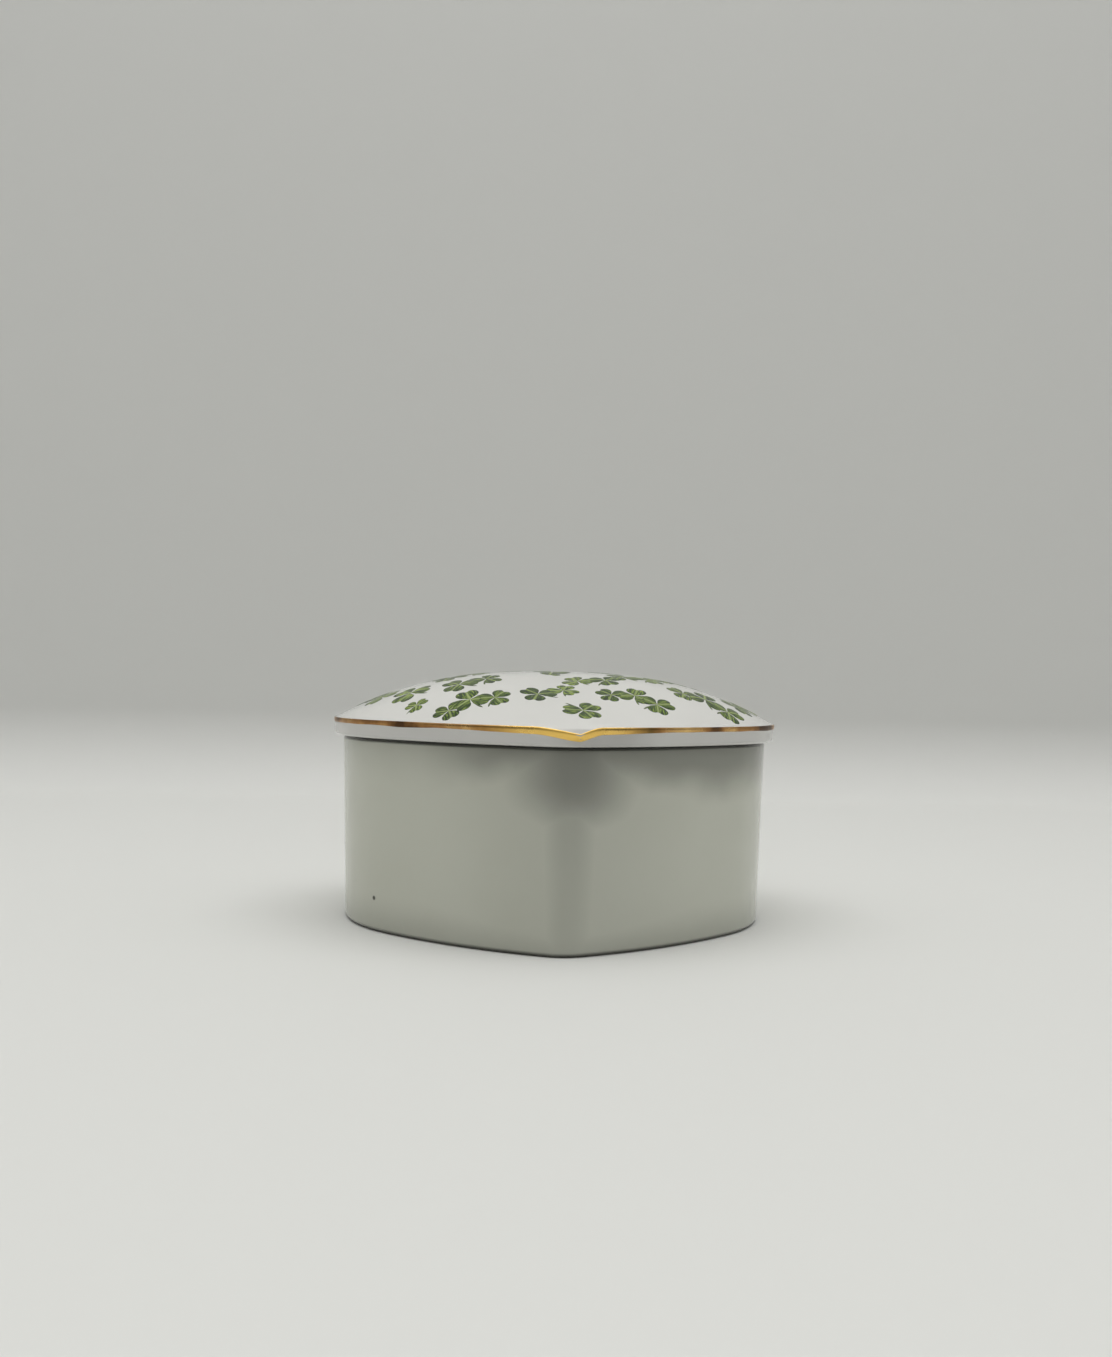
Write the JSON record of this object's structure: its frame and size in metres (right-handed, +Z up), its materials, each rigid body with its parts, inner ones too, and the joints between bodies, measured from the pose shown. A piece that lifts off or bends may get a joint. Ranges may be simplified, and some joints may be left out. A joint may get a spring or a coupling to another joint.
{
  "type": "trinket box",
  "caption": "Heart-shaped glazed porcelain trinket box: straight-walled body with a standing ring and a domed lift-off lid with a locating collar, gilt edge and clover sprays.",
  "frame": {"origin": "on the surface that the box stands on, under the middle of the lid's bounding box", "axes": "+X across the two lobes, to the right as seen from the tip; +Y from the tip to the notch; +Z up"},
  "size_m": [0.079, 0.0626, 0.0438],
  "materials": {
    "body_glaze": "gloss",
    "lid_glaze": "gloss",
    "bare_biscuit": "matte",
    "gilding": "gloss",
    "clover_enamel": "gloss"
  },
  "bodies": {
    "body": {"box_body": "body_glaze"},
    "lid": {"lid": "lid_glaze"}
  },
  "joints": [
    {"name": "lid_lift", "type": "slide", "parent": "body", "child": "lid", "axis": [0, 0, 1], "range_m": [0, 0.06]}
  ]
}
